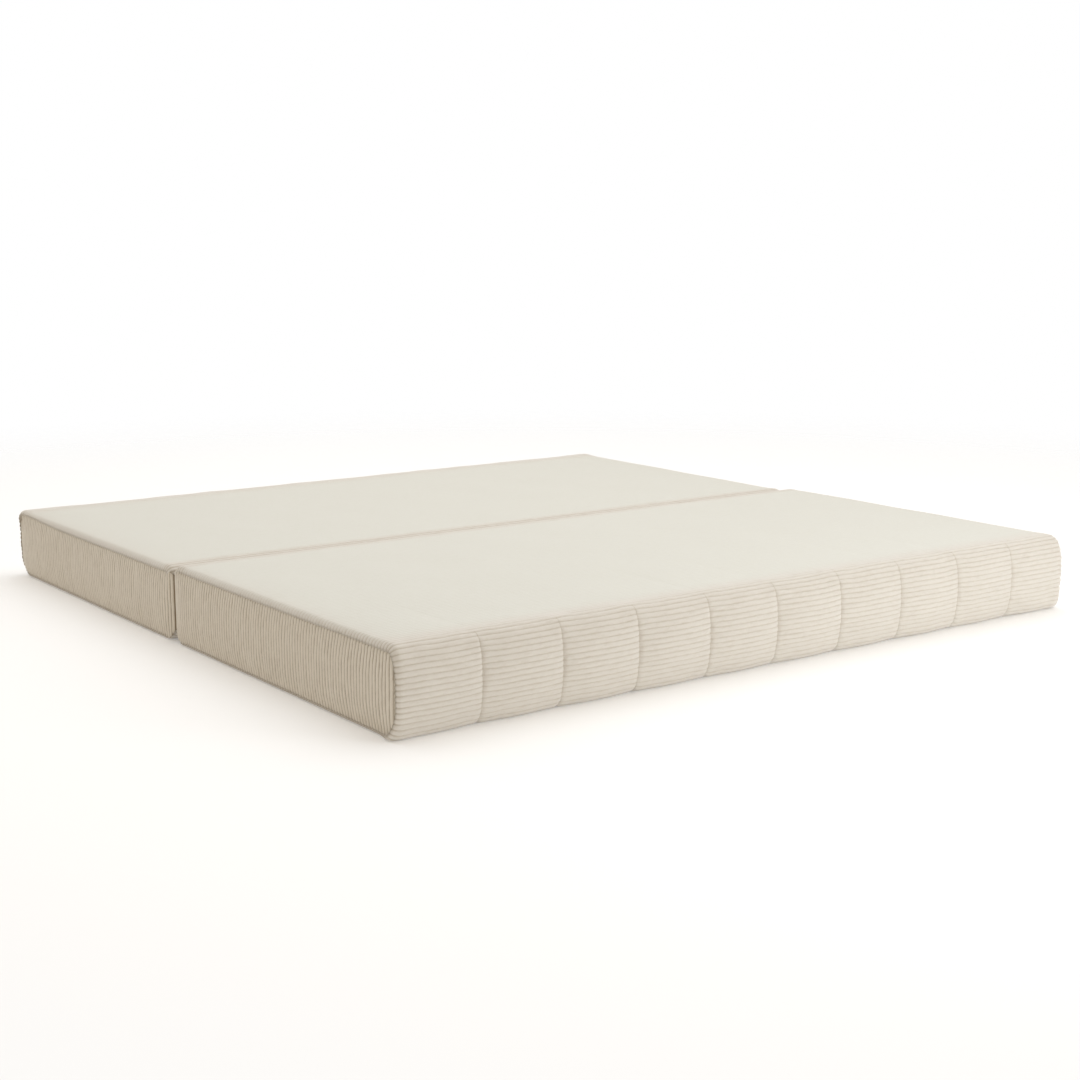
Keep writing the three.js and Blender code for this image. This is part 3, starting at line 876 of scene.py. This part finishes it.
def hingeStitches(panel):
    _, run, _ = hingePath()
    reach = stitch["hingeInset"]
    row = np.array([reach if panel is frontPanel else run[-1] - reach])
    starts = np.arange(-halfLength + stitch["endMargin"], halfLength - stitch["endMargin"], stitch["pitch"])
    first, normals, _ = hingeAt(row, starts)
    last, _, _ = hingeAt(row, starts + stitch["length"])
    return stitchLines(panel["name"] + "HingeStitches", first[0], last[0], normals[0], panel["body"],
                       [panel["name"] + "_hinge_seam"])


binding = {"start": 0.0045, "end": 0.0165, "below": 0.0032, "thick": 0.0010, "ripple": 0.0004,
           "floorClear": 0.001}


def seamBinding(panel, label, end):  # a tape over the raw edges inside
    b = binding
    size = endSeams[label.lower()]
    depths = np.linspace(b["start"], b["end"], 6)
    around = np.arange(0, len(panel["run"]), 4)
    rows = []
    stations = [(depth, 0) for depth in depths] + [(depth, b["thick"]) for depth in depths[::-1]]
    for away, extra in stations + stations[:1]:
        slope = np.clip(1 - away / size["roundWidth"], 0, 1)
        curl = 1 - math.sqrt(1 - slope * slope)
        depth = roundDepth(panel["normalOut"], panel["normalUp"], size["topDepth"] * panel["endScale"])
        inset = depth * curl + b["below"] + extra - fullness(panel, panel["run"])
        inset = inset + foldFall(panel, panel["run"]) + topShape["endFall"]
        inset = inset + b["ripple"] * np.sin(panel["run"] / 0.008)
        out = panel["out"] - panel["normalOut"] * inset
        up = panel["up"] - panel["normalUp"] * inset
        loop = np.stack([np.full(len(out), end * (halfLength - away)), panel["side"] * out, up], axis=1)
        rows.append(np.concatenate([loop[around], loop[:1]]))
    rows = np.array(rows)
    rows[..., 2] = np.maximum(rows[..., 2], b["floorClear"])
    piece = gridObject(panel["name"] + label + "Binding", rows, panel["body"],
                       closed=True, outwards=panelMiddle(panel))
    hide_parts(panel["name"] + "_" + label.lower() + "_seam_binding")
    return piece


zipRow = {
    "pitch": 0.003,
    "wire": 0.00042,
    "coilUp": 0.0015,
    "coilDeep": 0.0011,
    "reach": 0.0024,  # the rows stay clear of the slider's neck
    "ripple": 0.00015,
    "steps": 8,
    "setBack": 0.0019,
    "tapeThick": 0.0008,
    "tapeSpan": (0.0006, 0.0137),
    "endMargin": 0.003,
}


def zipTape(panel, label):  # a tape with its row of coil
    z = zipRow
    stem = panel["name"] + "_zip_"
    low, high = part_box(stem + label.lower() + "_tape")
    sign = 1 if label == "Upper" else -1
    seamUp = (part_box(stem + "upper_tape")[0].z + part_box(stem + "lower_tape")[1].z) / 2
    front = high.y - z["setBack"]
    x = np.linspace(low.x, high.x, 341)
    inner, outer = (seamUp + sign * level for level in z["tapeSpan"])
    across = np.linspace(inner, outer, 9)
    ripple = z["ripple"] * (np.sin(x / 0.0021) + wander(x, x * 0, 0.05, 71))
    rows = []
    stations = [(up, 0) for up in across] + [(up, -z["tapeThick"]) for up in across[::-1]]
    for level, depth in stations + stations[:1]:
        hold = abs(level - seamUp) / 0.013
        y = front + depth + ripple * (1 - hold * 0.5)
        rows.append(np.stack([x, y, np.full(len(x), level)], axis=1))
    tape = gridObject(f"{panel['name']}Zip{label}Tape", np.array(rows), panel["body"], closed=True,
                      outwards=Vector((0, front - 0.0004, (inner + outer) / 2)))
    turns = (high.x - low.x - 2 * z["endMargin"]) / z["pitch"]
    turn = np.linspace(0, 2 * math.pi * turns, round(turns * z["steps"])) + (math.pi if sign > 0 else 0)
    along = np.linspace(low.x + z["endMargin"], high.x - z["endMargin"], len(turn))
    centre = np.stack([along, front + 0.0005 + z["coilDeep"] * np.cos(turn),
                       seamUp + sign * z["reach"] + z["coilUp"] * np.sin(turn)], axis=1)
    forward = np.gradient(centre, axis=0)
    forward /= np.linalg.norm(forward, axis=1, keepdims=True)
    side = np.cross(forward, (1, 0, 0))
    side /= np.maximum(np.linalg.norm(side, axis=1, keepdims=True), 1e-6)
    other = np.cross(forward, side)
    ring = np.linspace(0, 2 * math.pi, 6)
    wire = np.array([centre + (side * math.cos(a) + other * math.sin(a)) * z["wire"] for a in ring])
    coil = gridObject("coil", wire, None, closed=True)
    shape = bmesh.new()
    shape.from_mesh(tape.data)
    shape.from_mesh(coil.data)
    shape.to_mesh(tape.data)
    shape.free()
    tape.data.shade_smooth()
    bpy.data.objects.remove(coil)
    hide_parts(stem + label.lower() + "_tape")
    return tape


covers = [coverWrap(panel) for panel in panels]
print("covers made")
panelEnds = [(panel, label, end) for panel in panels for label, end in (("Left", -1), ("Right", 1))]
gussets = [gusset(*place) for place in panelEnds]
print("gussets made")
strip = fabricHinge()
print("hinge made")
threads = [channelStitches()] + [hingeStitches(panel) for panel in panels]
bindings = [seamBinding(*place) for place in panelEnds]
tapes = [zipTape(panel, label) for panel in panels for label in ("Upper", "Lower")]
print("stitches, bindings and zips made")


class Socket:  # a node's output, so that sums on it add Math nodes
    def __init__(self, tree, link):
        self.tree, self.link = tree, link

    def maths(self, operation, other, flipped=False):
        node = self.tree.nodes.new("ShaderNodeMath")
        node.operation = operation
        for place, value in zip(node.inputs, (other, self) if flipped else (self, other)):
            if isinstance(value, Socket):
                self.tree.links.new(value.link, place)
            else:
                place.default_value = value
        return Socket(self.tree, node.outputs[0])

    def __add__(self, other):
        return self.maths("ADD", other)

    def __radd__(self, other):
        return self.maths("ADD", other, True)

    def __sub__(self, other):
        return self.maths("SUBTRACT", other)

    def __rsub__(self, other):
        return self.maths("SUBTRACT", other, True)

    def __mul__(self, other):
        return self.maths("MULTIPLY", other)

    def __rmul__(self, other):
        return self.maths("MULTIPLY", other, True)

    def __pow__(self, other):
        return self.maths("POWER", other)


class Finish:
    def __init__(self, name):
        self.material = bpy.data.materials.new(name)
        self.material.use_nodes = True
        self.tree = self.material.node_tree
        self.tree.nodes.clear()
        self.shader = self.tree.nodes.new("ShaderNodeBsdfPrincipled")
        output = self.tree.nodes.new("ShaderNodeOutputMaterial")
        self.tree.links.new(self.shader.outputs[0], output.inputs[0])

    def node(self, kind, settings=None, **inputs):
        made = self.tree.nodes.new("ShaderNode" + kind)
        for key, value in (settings or {}).items():
            setattr(made, key, value)
        for key, value in inputs.items():
            self.feed(made.inputs[key.replace("_", " ")], value)
        return made

    def feed(self, place, value):
        if isinstance(value, Socket):
            self.tree.links.new(value.link, place)
        else:
            place.default_value = value

    def surface(self, **inputs):
        for key, value in inputs.items():
            self.feed(self.shader.inputs[key.replace("_", " ")], value)

    def out(self, node, name=0):
        return Socket(self.tree, node.outputs[name])

    def attribute(self, name):
        return self.out(self.node("Attribute", {"attribute_name": name}), "Fac")

    def places(self, scale=(1, 1, 1)):
        coordinates = self.out(self.node("TexCoord"), "Object")
        return self.out(self.node("Mapping", Vector=coordinates, Scale=scale))

    def noise(self, places, scale, detail=3.0, roughness=0.55):
        made = self.node("TexNoise", Vector=places, Scale=scale, Detail=detail, Roughness=roughness)
        return self.out(made, "Fac")

    def blend(self, share, first, second):
        mixer = self.node("Mix", {"data_type": "RGBA"})
        self.feed(mixer.inputs["Factor"], share)
        self.feed(mixer.inputs[6], first)
        self.feed(mixer.inputs[7], second)
        return Socket(self.tree, mixer.outputs[2])

    def bump(self, height, distance, strength=1.0):
        made = self.node("Bump", Height=height, Distance=distance, Strength=strength)
        return self.out(made, "Normal")


def colour(red, green, blue):
    return (red, green, blue, 1.0)


pile = {
    # the groove colours are painted shade: the darker, warmer tone laid into the grooves between the wales
    "along": {"crest": colour(0.735, 0.70, 0.645), "groove": colour(0.60, 0.545, 0.465)},
    "upright": {"crest": colour(0.745, 0.69, 0.595), "groove": colour(0.23, 0.165, 0.095)},
    # the seam colour is painted shade: a dark brown laid along the seams where they sink in
    "seam": colour(0.20, 0.15, 0.085),
    "worn": 1.03,
    # pressed is painted sheen: the paler, greyer tone of the top seen at a grazing angle
    "pressed": colour(0.72, 0.725, 0.66),
    "sheen": 0.35,
    "fibre": 0.0006,
}


def corduroyFinish(name, streaks, tones, fleck):
    finish = Finish(name)
    crestTone = tones["crest"]
    # the painted shade in the grooves and seams, and the painted sheen on top, as the pieces carry them
    groove, seam, topSheen = (finish.attribute(label) for label in ("groove", "seam", "topSheen"))
    brushed = finish.noise(finish.places(streaks), 900.0, 3.0, 0.7)
    patches = finish.noise(finish.places(), 9.0, 3.0)
    tufts = finish.noise(finish.places(), 520.0, 2.0, 0.6)
    fuzz = finish.noise(finish.places(streaks), 150.0, 3.0, 0.8)
    # painted shade: deep darkens the crest tone towards the groove colour in the grooves
    deep = groove ** 1.8
    worn = colour(*(part * pile["worn"] for part in crestTone[:3]))
    crest = finish.blend((patches - 0.35) * 1.5, crestTone, worn)
    # painted sheen on top: the crest tone is paled towards the pressed colour, and the fleck of the fuzz
    # fades there
    crest = finish.blend(topSheen * 0.8, crest, pile["pressed"])
    shade = deep * 0.9 + (brushed - 0.5) * 0.4 + (fuzz - 0.5) * fleck * (1 - 0.65 * topSheen)
    tone = finish.blend(shade, crest, tones["groove"])
    # painted shade along the seams
    tone = finish.blend(seam * 0.85, tone, pile["seam"])
    normal = finish.bump(brushed * 0.6 + tufts * 0.4, pile["fibre"], 0.8)
    finish.surface(Base_Color=tone, Roughness=0.86 + (tufts - 0.5) * 0.16, Normal=normal)
    finish.surface(Sheen_Weight=pile["sheen"], Sheen_Roughness=0.5, Specular_IOR_Level=0.2)
    return finish.material


def clothFinish(name, pale, dark, weave, roughness):
    finish = Finish(name)
    threads = finish.noise(finish.places((1, 1, 0.3)), weave, 2.0)
    crossing = finish.noise(finish.places((0.3, 1, 1)), weave, 2.0)
    cloud = finish.noise(finish.places(), 12.0)
    tone = finish.blend(threads * 0.5 + cloud * 0.4, pale, dark)
    worn = roughness + (cloud - 0.5) * 0.1
    normal = finish.bump(threads + crossing, 0.0003, 0.6)
    finish.surface(Base_Color=tone, Roughness=worn, Normal=normal, Sheen_Weight=0.15)
    return finish.material


def foamFinish(name, pale, dark, cell):
    finish = Finish(name)
    cells = finish.out(finish.node("TexVoronoi", Vector=finish.places(), Scale=cell), "Distance")
    cloud = finish.noise(finish.places(), 20.0)
    tone = finish.blend(cells * 0.9 + cloud * 0.2, pale, dark)
    finish.surface(Base_Color=tone, Roughness=0.9 - cells * 0.1, Normal=finish.bump(cells, 0.0008, 0.7))
    return finish.material


def nickelFinish(name):
    finish = Finish(name)
    scuffs = finish.noise(finish.places((1, 1, 6)), 700.0, 4.0, 0.7)
    grime = finish.noise(finish.places(), 160.0, 3.0)
    tone = finish.blend(grime * 0.6, colour(0.62, 0.60, 0.56), colour(0.36, 0.34, 0.31))
    worn = 0.26 + scuffs * 0.22 + grime * 0.1
    finish.surface(Base_Color=tone, Metallic=1.0, Roughness=worn, Normal=finish.bump(scuffs, 0.00008, 0.4))
    return finish.material


alongFinish = corduroyFinish("corduroyAlong", (0.25, 1, 1), pile["along"], 1.4)
uprightFinish = corduroyFinish("corduroyUpright", (1, 1, 0.25), pile["upright"], 0.7)
for piece in covers + [strip]:
    piece.data.materials.append(alongFinish)
for piece in gussets:
    piece.data.materials.append(uprightFinish)
threadFinish = clothFinish("threadTwist", colour(0.70, 0.64, 0.52), colour(0.50, 0.44, 0.33), 1500.0, 0.7)
tapeFinish = clothFinish("tapeTwill", colour(0.66, 0.61, 0.50), colour(0.46, 0.41, 0.32), 900.0, 0.8)
for piece in threads:
    piece.data.materials.append(threadFinish)
for piece in bindings + tapes:
    piece.data.materials.append(tapeFinish)

insideFinishes = {
    "inner_liner": clothFinish("linerWeave", (0.82, 0.80, 0.76, 1), (0.66, 0.64, 0.60, 1), 700.0, 0.85),
    "base_wadding": foamFinish("waddingFluff", (0.86, 0.85, 0.82, 1), (0.70, 0.69, 0.66, 1), 180.0),
    "support_foam": foamFinish("supportCells", (0.80, 0.74, 0.56, 1), (0.60, 0.52, 0.34, 1), 420.0),
    "comfort_foam": foamFinish("comfortCells", (0.84, 0.80, 0.70, 1), (0.66, 0.60, 0.48, 1), 560.0),
    "zip": nickelFinish("dullNickel"),
}
insideFinishes["top_wadding"] = insideFinishes["base_wadding"]
for piece in scene.objects:
    for part, finish in insideFinishes.items():
        if piece.type == "MESH" and piece.name.startswith(("front_", "rear_")) and part in piece.name:
            piece.data.materials.clear()
            piece.data.materials.append(finish)


def makeFloor():
    shape = bmesh.new()
    bmesh.ops.create_grid(shape, x_segments=1, y_segments=1, size=6)
    mesh = bpy.data.meshes.new("floor")
    shape.to_mesh(mesh)
    shape.free()
    floor = bpy.data.objects.new("floor", mesh)
    floor.location.z = -0.0005
    scene.collection.objects.link(floor)
    finish = Finish("floorPaint")
    finish.surface(Base_Color=colour(0.93, 0.93, 0.93), Roughness=0.8)
    finish.surface(Emission_Color=colour(1, 1, 1), Emission_Strength=0.14)
    radius = finish.out(finish.node("VectorMath", {"operation": "LENGTH"}, Vector=finish.places()), "Value")
    fade = finish.out(finish.node("MapRange", {"interpolation_type": "SMOOTHSTEP"}, Value=radius,
                                  From_Min=1.7, From_Max=4.5), "Result")
    clear = finish.node("BsdfTransparent")
    mixer = finish.node("MixShader")
    finish.feed(mixer.inputs[0], fade)
    finish.tree.links.new(finish.shader.outputs[0], mixer.inputs[1])
    finish.tree.links.new(clear.outputs[0], mixer.inputs[2])
    finish.tree.links.new(mixer.outputs[0], finish.tree.nodes["Material Output"].inputs[0])
    mesh.materials.append(finish.material)


def softLight(name, place, aim, size, power, tint):
    lamp = bpy.data.lights.new(name, "AREA")
    lamp.shape = "RECTANGLE"
    lamp.size, lamp.size_y = size
    lamp.energy = power
    lamp.color = tint
    holder = bpy.data.objects.new(name, lamp)
    holder.location = place
    holder.rotation_euler = (Vector(aim) - Vector(place)).to_track_quat("-Z", "Y").to_euler()
    scene.collection.objects.link(holder)


studio = {
    "brightWay": (0.62, 0.78, 0.0),
    "brightFade": (-0.55, 0.6),
    "dim": (0.46, 0.40, 0.32),
    "overheadPower": 64,
    "frontRightPower": 15.5,
    "frontRightTint": (0.95, 0.98, 1.0),
}


def lightStudio():  # a white backdrop behind and to the right, dimmer and warmer towards the left
    world = bpy.data.worlds.new("studio")
    scene.world = world
    world.use_nodes = True
    tree = world.node_tree
    background = tree.nodes["Background"]
    way = tree.nodes.new("ShaderNodeTexCoord")
    along = tree.nodes.new("ShaderNodeVectorMath")
    along.operation = "DOT_PRODUCT"
    along.inputs[1].default_value = studio["brightWay"]
    tree.links.new(way.outputs["Generated"], along.inputs[0])
    ramp = tree.nodes.new("ShaderNodeMapRange")
    ramp.interpolation_type = "SMOOTHSTEP"
    ramp.inputs["From Min"].default_value, ramp.inputs["From Max"].default_value = studio["brightFade"]
    tree.links.new(along.outputs["Value"], ramp.inputs["Value"])
    mixer = tree.nodes.new("ShaderNodeMix")
    mixer.data_type = "RGBA"
    mixer.inputs[6].default_value = colour(*studio["dim"])
    mixer.inputs[7].default_value = colour(1, 1, 1)
    tree.links.new(ramp.outputs["Result"], mixer.inputs["Factor"])
    tree.links.new(mixer.outputs[2], background.inputs[0])
    softLight("overhead", (0.6, 0.4, 3.6), (0, 0, 0), (5.0, 5.0), studio["overheadPower"], (1, 1, 1))
    softLight("frontRight", (0.8, -2.8, 0.8), (0.6, -1.0, 0.1), (1.4, 1.0), studio["frontRightPower"],
              studio["frontRightTint"])


viewpoint = {"place": (-2.719, -3.832, 1.015), "yaw": 53.88, "down": 10.58, "lens": 59.27}


def placeCamera():
    camera = bpy.data.cameras.new("camera")
    camera.sensor_width = 36
    camera.lens = viewpoint["lens"]
    holder = bpy.data.objects.new("camera", camera)
    holder.location = viewpoint["place"]
    yaw, down = math.radians(viewpoint["yaw"]), math.radians(viewpoint["down"])
    ahead = Vector((math.cos(down) * math.cos(yaw), math.cos(down) * math.sin(yaw), -math.sin(down)))
    holder.rotation_euler = ahead.to_track_quat("-Z", "Y").to_euler()
    scene.collection.objects.link(holder)
    scene.camera = holder


makeFloor()
lightStudio()
placeCamera()
print("studio set")
